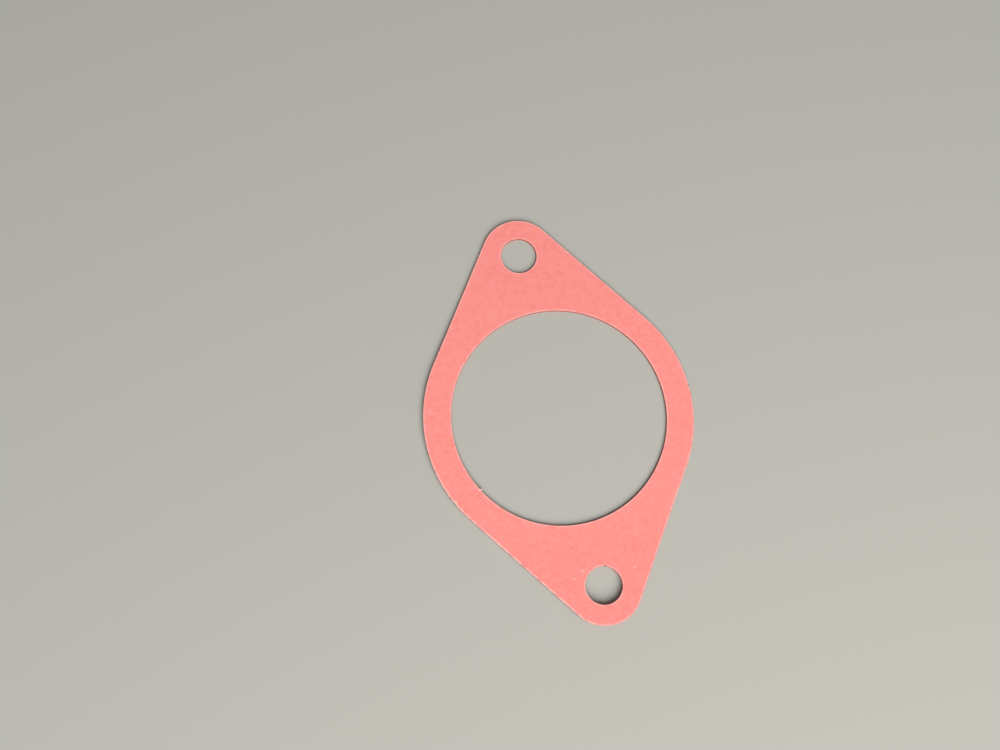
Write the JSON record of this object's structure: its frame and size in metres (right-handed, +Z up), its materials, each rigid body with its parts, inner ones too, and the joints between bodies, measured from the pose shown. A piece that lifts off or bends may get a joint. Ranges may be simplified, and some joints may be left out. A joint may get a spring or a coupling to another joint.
{
  "type": "flange gasket",
  "caption": "Thin flat oval flange gasket with a large round port and a bolt hole near each end, die-cut in one piece from red rubber-bound fibre sheet.",
  "frame": {"origin": "on the port's axis, at the sheet's lower face", "axes": "+Z up through the sheet's thickness, +Y along the line through the bolt holes, +X across the ring"},
  "size_m": [0.068, 0.104, 0.0008],
  "materials": {
    "jointing_sheet": "matte"
  },
  "bodies": {
    "root": {"gasket": "jointing_sheet"}
  },
  "joints": []
}
